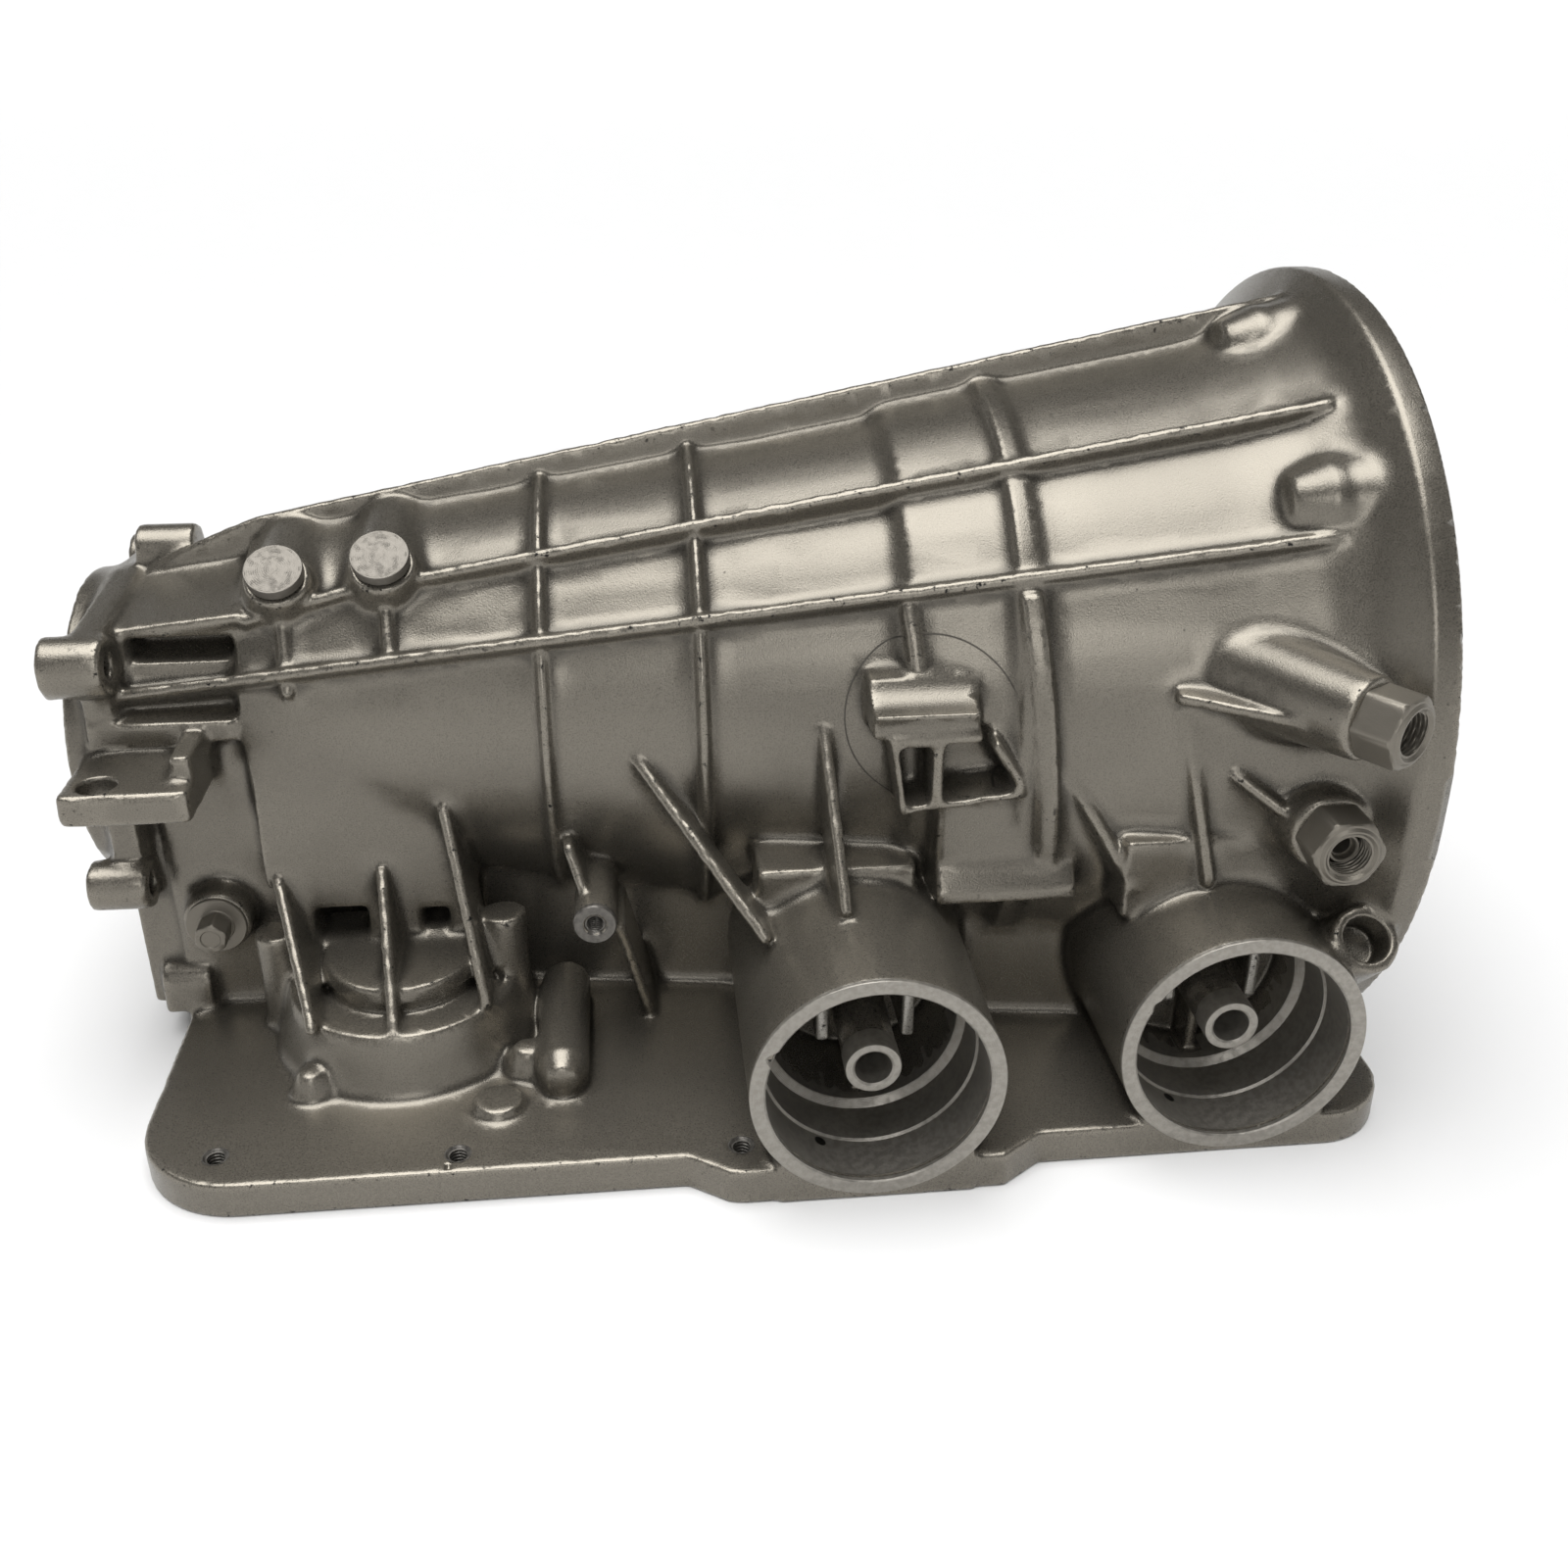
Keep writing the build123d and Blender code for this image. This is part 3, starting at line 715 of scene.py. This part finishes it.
def make_fittings():
    made = []
    for name, mount, side in (
        ("upper", mounts["upper_line_thread"], (-1, 0, 0)),
        ("lower", mounts["lower_line_thread"], (1, 0, 0)),
    ):
        axis = Vector(mount["axis"])
        seat = Vector(mount["pos_m"]) / MM - axis * (FITTING_LEN - 2.0)
        mesh = row_mesh(f"{name}_cooler_fitting_skin", fitting_rows(name == "lower"), 96)
        made.append(add_piece(
            f"{name}_cooler_fitting_skin", mesh, f"{name}_cooler_fitting",
            axis_frame(seat, axis, side),
        ))
    return made


fittings = make_fittings()
print("fittings", [len(f.data.polygons) for f in fittings])

# %% [markdown]
# ## Plugs
# Two round plugs are pressed into bosses on top, over the ends of a cross shaft. Their heads were faced on a
# lathe and stand a little off the boss, so a dark gap runs round each. A small hex plug with a flange closes
# the pressure port at the rear.

# %% Plugs
PLUG_X = {"rear_shaft_plug": -373.0, "front_shaft_plug": -337.0}
PLUG_ANGLE = math.radians(53.0)
PLUG_R = 9.8
PLUG_GAP = 1.2
PLUG_TOP = 5.2
PLUG_RISE = 11.0
PLUG_SHANK_R = 7.4
PORT_SEAT = (-408.0, -60.0, -66.5)


def make_plugs():
    head = [(-11.0, PLUG_SHANK_R), (PLUG_GAP, PLUG_SHANK_R), (PLUG_GAP, PLUG_R - 0.3)]
    head += [(PLUG_GAP + 0.3, PLUG_R), (PLUG_TOP - 0.4, PLUG_R)]
    head += [(PLUG_TOP - 0.1, PLUG_R - 0.15), (PLUG_TOP, PLUG_R - 0.45)]
    head += [(PLUG_TOP - 0.04 * (k % 2), PLUG_R - 0.9 - 0.45 * k) for k in range(19)]
    made = []
    for name, x in PLUG_X.items():
        out = Vector((0, -math.cos(PLUG_ANGLE), math.sin(PLUG_ANGLE)))
        seat = Vector((x, 0, 0)) + out * (barrel_r(x) + PLUG_RISE)
        mesh = row_mesh(f"{name}_skin", head, 96, fill_end=True)
        made.append(add_piece(f"{name}_skin", mesh, name, axis_frame(seat, out, (1, 0, 0))))
    bar = hexagon(10.5, 0.2)
    port = [(-12.0, 5.9), (0.02, 5.9)]
    port += [(0.02, 10.4), (0.4, 10.7), (1.3, 10.7), (1.6, 10.4), (1.6, 6.6), (1.9, 6.2)]
    port += [(1.9, bar), (10.2, bar), (10.7, under_cone(bar, 5.5)), (11.0, under_cone(bar, 5.0))]
    port += [(11.0, 3.6), (10.6, 3.2), (10.6, 0.4)]
    mesh = row_mesh("pressure_port_plug_skin", port, 96, fill_end=True)
    place = axis_frame(PORT_SEAT, (0, -1, 0), (0.94, 0, 0.34))
    made.append(add_piece("pressure_port_plug_skin", mesh, "pressure_port_plug", place))
    return made


plugs = make_plugs()
print("plugs", [p.name for p in plugs])

# %% [markdown]
# ## Turned bores and tapped holes
# The two servo bores were machined after casting: a flat rim, a groove for a retaining ring, a smooth wall
# and a ledge. They are made as exact rows, laid in the shallow seats. The guide tubes get faced ends, and the
# pan holes and the small boss get real threads.

# %% Turned bores and tapped holes
GROOVE = (1.8, 3.2)
GROOVE_DEPTH = 1.2
STEP_MM = 0.8
RIM_CHIPS = {
    "rear": (math.radians(157), math.radians(4), 2.6),
    "front": (math.radians(150), math.radians(3), 1.0),
}
DECK_Z = -108.0
TAP_R = 3.4
TAP_HEIGHT = 0.5
TAP_PITCH = 1.27
TAP_STEP = 0.16


def bore_rows(chip):
    """Rim, groove, wall and ledge, with a chip out of the rim."""
    at, half, deep = chip

    def bitten(r):
        def radius(angle):
            off = abs((angle - at + math.pi) % math.tau - math.pi) / half
            return r + deep * max(0.0, 1 - off) ** 0.6

        return radius

    b = SERVO_BORE_R
    rows = [(-1.6, b + 5.25), (-0.3, b + 5.2), (-0.06, b + 5.0), (0, b + 4.6)]
    rows += [(0, bitten(b + 0.6)), (-0.5, bitten(b)), (-GROOVE[0], b), (-GROOVE[0], b + GROOVE_DEPTH)]
    rows += [(-GROOVE[1], b + GROOVE_DEPTH), (-GROOVE[1], b), (-20.0, b), (-20.8, b - STEP_MM)]
    rows += [(-36.8, b - STEP_MM), (-37.2, b - 1.2), (-LEDGE_DEPTH - 0.2, LEDGE_R + 0.4)]
    rows += [(-LEDGE_DEPTH - 0.8, LEDGE_R - 0.1), (-52.0, LEDGE_R - 0.1)]
    return rows


def make_turned():
    made = []
    guide = [(-9.0, GUIDE_R + 0.1), (-0.6, GUIDE_R + 0.1), (-0.1, GUIDE_R - 0.2), (0, GUIDE_R - 0.5)]
    guide += [(0, GUIDE_BORE_R + 0.7), (-0.5, GUIDE_BORE_R), (-19.0, GUIDE_BORE_R)]
    for name, mouth in SERVOS.items():
        place = axis_frame(mouth, (0, -1, 0), (1, 0, 0))
        mesh = row_mesh(f"{name}_servo_bore", bore_rows(RIM_CHIPS[name]), 192)
        made.append(add_piece(f"{name}_servo_bore", mesh, None, place))
        place = axis_frame(mouth + INTO_BORE * GUIDE_INSET, (0, -1, 0), (1, 0, 0))
        mesh = row_mesh(f"{name}_servo_guide", guide, 96)
        made.append(add_piece(f"{name}_servo_guide", mesh, None, place))
    return made


def tap_rows(top, bottom):
    return thread_rows(top, bottom, TAP_R, TAP_HEIGHT, TAP_PITCH, TAP_STEP)


def make_threads():
    made = []
    tapped = [(0.04, 4.5), (0.04, 4.1), (-0.7, TAP_R)] + tap_rows(-0.8, -12.6)
    for k, (x, y) in enumerate(PAN_HOLES):
        mesh = row_mesh(f"pan_thread_{k}", tapped, 40)
        place = axis_frame((x, y, DECK_Z), (0, 0, 1), (1, 0, 0))
        made.append(add_piece(f"pan_thread_{k}", mesh, None, place))
    boss = [(-2.0, 7.55), (-0.5, 7.5), (0.05, 7.0), (0.05, 4.2), (-0.8, TAP_R)] + tap_rows(-0.9, -16)
    mesh = row_mesh("boss_thread", boss, 48)
    place = axis_frame(THREADED_BOSS, (0, -1, 0), (1, 0, 0))
    made.append(add_piece("boss_thread", mesh, None, place))
    return made


turned = make_turned()
threads = make_threads()
print("turned", len(turned), "threads", len(threads))

# %% [markdown]
# ## Shader helpers and shared effects
# A material is a net of small nodes. A short helper adds a node and sets or links its inputs in one line.
# Effects that several materials share are node groups: the grain of a casting under paint, and the fine rings
# that a lathe tool leaves. They put out only heights, masks and tones, and each material decides what to do
# with them.

# %% Shared effects


def add(tree, kind, values=(), **settings):
    """Adds a node. Values are (input, number or socket) pairs."""
    node = tree.nodes.new(kind)
    for key, value in settings.items():
        setattr(node, key, value)
    for key, value in values:
        if isinstance(value, bpy.types.NodeSocket):
            tree.links.new(value, node.inputs[key])
        else:
            node.inputs[key].default_value = value
    return node


def calc(tree, operation, a, b=0.0, c=0.0):
    """One arithmetic node."""
    node = add(tree, "ShaderNodeMath", [(0, a), (1, b), (2, c)], operation=operation)
    return node.outputs[0]


def window(tree, value, low, high, to_low=0.0, to_high=1.0):
    """Value mapped from low..high to new limits, held inside them."""
    pairs = [("Value", value), (1, low), (2, high), (3, to_low), (4, to_high)]
    return add(tree, "ShaderNodeMapRange", pairs, interpolation_type="SMOOTHSTEP").outputs[0]


def noise(tree, place, scale, detail=3.0, rough=0.55):
    pairs = [("Vector", place), ("Scale", scale), ("Detail", detail), ("Roughness", rough)]
    return add(tree, "ShaderNodeTexNoise", pairs).outputs[0]


def new_group(name, outputs):
    group = bpy.data.node_groups.new(name, "ShaderNodeTree")
    for label in outputs:
        group.interface.new_socket(name=label, in_out="OUTPUT", socket_type="NodeSocketFloat")
    return group, add(group, "NodeGroupOutput")


def make_cast_grain():
    """Grain of a casting: fine height, flake, dark specks and a slow change of tone."""
    tree, out = new_group("cast_grain", ["Height", "Flake", "Speck", "Tone"])
    place = add(tree, "ShaderNodeTexCoord").outputs["Object"]
    fine = noise(tree, place, 1900.0, 1.0, 0.7)
    coarse = noise(tree, place, 320.0, 1.0, 0.5)
    height = calc(tree, "ADD", calc(tree, "MULTIPLY", fine, 0.8), calc(tree, "MULTIPLY", coarse, 0.2))
    cells = add(tree, "ShaderNodeTexVoronoi", [("Vector", place), ("Scale", 230.0)]).outputs["Distance"]
    rare = window(tree, noise(tree, place, 46.0, 1.0), 0.60, 0.68, 0.0, 0.6)
    speck = calc(tree, "MULTIPLY", window(tree, cells, 0.11, 0.06), rare)
    tone = noise(tree, place, 14.0, 3.0)
    for label, value in (("Height", height), ("Flake", fine), ("Speck", speck), ("Tone", tone)):
        tree.links.new(value, out.inputs[label])
    return tree


def make_turned_rings():
    """Fine rings round the piece's own Z axis, broken up by noise."""
    tree, out = new_group("turned_rings", ["Height", "Tone"])
    place = add(tree, "ShaderNodeTexCoord").outputs["Object"]
    split = add(tree, "ShaderNodeSeparateXYZ", [(0, place)])
    square = calc(tree, "MULTIPLY_ADD", split.outputs[0], split.outputs[0],
                  calc(tree, "MULTIPLY", split.outputs[1], split.outputs[1]))
    reach = calc(tree, "ADD", calc(tree, "SQRT", square), split.outputs[2])
    wobble = calc(tree, "MULTIPLY", noise(tree, place, 120.0, 2.0), 0.0002)
    rings = calc(tree, "SINE", calc(tree, "MULTIPLY", calc(tree, "ADD", reach, wobble), 9000.0))
    broken = calc(tree, "MULTIPLY", rings, window(tree, noise(tree, place, 330.0, 3.0), 0.35, 0.7))
    for label, value in (("Height", broken), ("Tone", noise(tree, place, 420.0, 3.0, 0.65))):
        tree.links.new(value, out.inputs[label])
    return tree


cast_grain = make_cast_grain()
turned_rings = make_turned_rings()
print("groups", cast_grain.name, turned_rings.name)

# %% [markdown]
# ## Case paint
# The whole case is sprayed in a satin gunmetal paint with fine metal flake. It is thin and bright on outward
# edges. In hollows and inside corners its colour is darkened: painted shade, with some dirt and overspray.
# Rough flash on the crests holds black pits. A fine closed line round the bracket shows where a separate
# insert sat in the mould.

# %% Case paint
PAINT = (0.186, 0.170, 0.142, 1.0)
BARE = (0.36, 0.345, 0.315, 1.0)
# Near black for pits, specks and the insert line, and for the painted shade of the oil hole.
BLACK_FOR_PITS_AND_SHADE = (0.012, 0.011, 0.010, 1.0)
INSERT_AT = Vector((-0.157, -0.102, 0.018))
INSERT_R = 0.0285


def new_material(name):
    material = bpy.data.materials.new(name)
    material.use_nodes = True
    return material, material.node_tree, material.node_tree.nodes["Principled BSDF"]


def blend(tree, share, a, b, how="MIX"):
    """Two colours mixed by a share from 0 to 1."""
    pairs = [(0, share), (6, a), (7, b)]
    return add(tree, "ShaderNodeMix", pairs, data_type="RGBA", blend_type=how).outputs[2]


def tint(colour, factor):
    """A colour made darker or lighter."""
    return tuple(c * factor for c in colour[:3]) + (1.0,)


def use_group(tree, group):
    return add(tree, "ShaderNodeGroup", node_tree=group).outputs


def bump(tree, height, distance, strength=1.0):
    pairs = [("Height", height), ("Distance", distance), ("Strength", strength)]
    return add(tree, "ShaderNodeBump", pairs).outputs[0]


def insert_line(tree, place):
    """Mask of the thin closed line round the bracket."""
    split = add(tree, "ShaderNodeSeparateXYZ", [(0, place)])
    dx = calc(tree, "SUBTRACT", split.outputs[0], INSERT_AT.x)
    dz = calc(tree, "SUBTRACT", split.outputs[2], INSERT_AT.z)
    reach = calc(tree, "SQRT", calc(tree, "MULTIPLY_ADD", dx, dx, calc(tree, "MULTIPLY", dz, dz)))
    off = calc(tree, "ABSOLUTE", calc(tree, "SUBTRACT", reach, INSERT_R))
    near = window(tree, split.outputs[1], -0.075, -0.085)
    out = calc(tree, "SQRT", calc(tree, "MULTIPLY_ADD", split.outputs[1], split.outputs[1],
                                  calc(tree, "MULTIPLY", split.outputs[2], split.outputs[2])))
    proud = calc(tree, "MULTIPLY_ADD", dx, -BARREL_SLOPE, out)
    limit = (barrel_r(INSERT_AT.x / MM) + 2.5) * MM
    on_barrel = calc(tree, "MULTIPLY", near, window(tree, proud, limit + 0.001, limit))
    return calc(tree, "MULTIPLY", window(tree, off, 0.0004, 0.0001, 0.0, 0.7), on_barrel)


def make_case_paint():
    material, tree, shader = new_material("case_paint")
    grain = use_group(tree, cast_grain)
    place = add(tree, "ShaderNodeTexCoord").outputs["Object"]
    bend = add(tree, "ShaderNodeAttribute", attribute_name="bend").outputs["Fac"]
    cut = add(tree, "ShaderNodeAttribute", attribute_name="cut").outputs["Fac"]
    ragged = noise(tree, place, 420.0, 3.0, 0.7)
    crest = window(tree, bend, 0.30, 0.75)
    # painted shade with some dirt: a mask of hollows and inside corners, where the bend is concave
    dirt_and_painted_shade = window(tree, bend, -0.12, -0.65)
    pits = calc(tree, "MULTIPLY", crest, window(tree, ragged, 0.60, 0.68))
    line = insert_line(tree, place)
    colour = blend(tree, window(tree, grain["Tone"], 0.3, 0.7), tint(PAINT, 0.86), PAINT)
    colour = blend(tree, calc(tree, "MULTIPLY", crest, 0.5), colour, tint(PAINT, 1.4))
    # painted shade with some dirt: hollows and inside corners mixed towards a dark tint of the paint
    colour = blend(tree, calc(tree, "MULTIPLY", dirt_and_painted_shade, 0.75), colour, tint(PAINT, 0.32))
    colour = blend(tree, calc(tree, "MULTIPLY", cut, 0.85), colour, BARE)
    flake = window(tree, grain["Flake"], 0.3, 0.7, 0.9, 1.1)
    colour = blend(tree, 1.0, colour, flake, "MULTIPLY")
    dark = calc(tree, "MAXIMUM", calc(tree, "MAXIMUM", pits, line), grain["Speck"])
    colour = blend(tree, dark, colour, BLACK_FOR_PITS_AND_SHADE)
    tree.links.new(colour, shader.inputs["Base Color"])
    shader.inputs["Metallic"].default_value = 0.72
    rough = window(tree, grain["Flake"], 0.25, 0.75, 0.25, 0.36)
    rough = calc(tree, "ADD", rough, calc(tree, "MULTIPLY", dark, 0.3))
    tree.links.new(rough, shader.inputs["Roughness"])
    height = calc(tree, "MULTIPLY_ADD", crest, ragged, grain["Height"])
    tree.links.new(bump(tree, height, 0.00018, 0.45), shader.inputs["Normal"])
    return material


case_paint = make_case_paint()
casting.data.materials.append(case_paint)
print("case paint nodes", len(case_paint.node_tree.nodes))

# %% [markdown]
# ## Fittings, turned metal and threads
# The fittings wear the same paint over smooth bar, so they have grain but no flash. Turned surfaces are
# lighter, with rings from the tool and stains. Threads have the same finish in a darker tone.

# %% Small materials
TURNED = (0.33, 0.31, 0.275, 1.0)
PLUG_FACE = (0.168, 0.155, 0.135, 1.0)
THREAD = (0.17, 0.16, 0.145, 1.0)
# Centre of a dark disc on the turned metal: painted shade of the small oil hole, which the mesh does not cut.
OIL_HOLE_SHADE_AT = Vector((-0.0165, -0.0322, -0.017))


def make_bar_paint():
    material, tree, shader = new_material("bar_paint")
    grain = use_group(tree, cast_grain)
    colour = blend(tree, grain["Tone"], tint(PAINT, 0.9), tint(PAINT, 1.15))
    tree.links.new(blend(tree, grain["Speck"], colour, BLACK_FOR_PITS_AND_SHADE), shader.inputs["Base Color"])
    shader.inputs["Metallic"].default_value = 0.7
    tree.links.new(window(tree, grain["Height"], 0.2, 0.8, 0.36, 0.5), shader.inputs["Roughness"])
    tree.links.new(bump(tree, grain["Height"], 0.0001, 0.5), shader.inputs["Normal"])
    return material


def make_turned_metal(name, base, height, low, high, stain=0.62, hole=False):
    material, tree, shader = new_material(name)
    rings = use_group(tree, turned_rings)
    grain = use_group(tree, cast_grain)
    colour = blend(tree, window(tree, rings["Tone"], 0.35, 0.65), tint(base, stain), base)
    colour = blend(tree, grain["Speck"], colour, BLACK_FOR_PITS_AND_SHADE)
    # painted shade: a dark disc where the oil hole is, in place of a real hole
    if hole:
        place = add(tree, "ShaderNodeTexCoord").outputs["Object"]
        pairs = [(0, place), (1, OIL_HOLE_SHADE_AT)]
        away = add(tree, "ShaderNodeVectorMath", pairs, operation="DISTANCE").outputs["Value"]
        colour = blend(tree, window(tree, away, 0.0023, 0.0018), colour, BLACK_FOR_PITS_AND_SHADE)
    tree.links.new(colour, shader.inputs["Base Color"])
    shader.inputs["Metallic"].default_value = 0.7
    tree.links.new(window(tree, rings["Tone"], 0.3, 0.7, low, high), shader.inputs["Roughness"])
    mixed = calc(tree, "ADD", rings["Height"], grain["Height"])
    tree.links.new(bump(tree, mixed, height, 0.6), shader.inputs["Normal"])
    return material


bar_paint = make_bar_paint()
turned_metal = make_turned_metal("turned_metal", TURNED, 0.00005, 0.34, 0.46, stain=0.78, hole=True)
plug_metal = make_turned_metal("plug_metal", PLUG_FACE, 0.00009, 0.42, 0.5, stain=0.93)
thread_metal = make_turned_metal("thread_metal", THREAD, 0.00004, 0.3, 0.45)
for piece in fittings:
    piece.data.materials.append(bar_paint)
for piece in turned:
    piece.data.materials.append(turned_metal)
for piece in threads:
    piece.data.materials.append(thread_metal)
for piece in plugs:
    piece.data.materials.append(bar_paint if "port" in piece.name else plug_metal)
for node in nodes.values():
    node.data.materials.clear()
    node.data.materials.append(case_paint)
print("materials", len(bpy.data.materials))

# %% [markdown]
# ## Floor finish
# The floor is plain pale paper. A little noise in its roughness keeps it from looking like plastic.

# %% Floor finish
FLOOR_GREY = (0.76, 0.76, 0.76, 1.0)
floor_paper, tree, shader = new_material("floor_paper")
shader.inputs["Base Color"].default_value = FLOOR_GREY
place = add(tree, "ShaderNodeTexCoord").outputs["Object"]
tree.links.new(window(tree, noise(tree, place, 30.0), 0.2, 0.8, 0.75, 0.9), shader.inputs["Roughness"])
floor.data.materials.append(floor_paper)
print("floor", floor_paper.name)
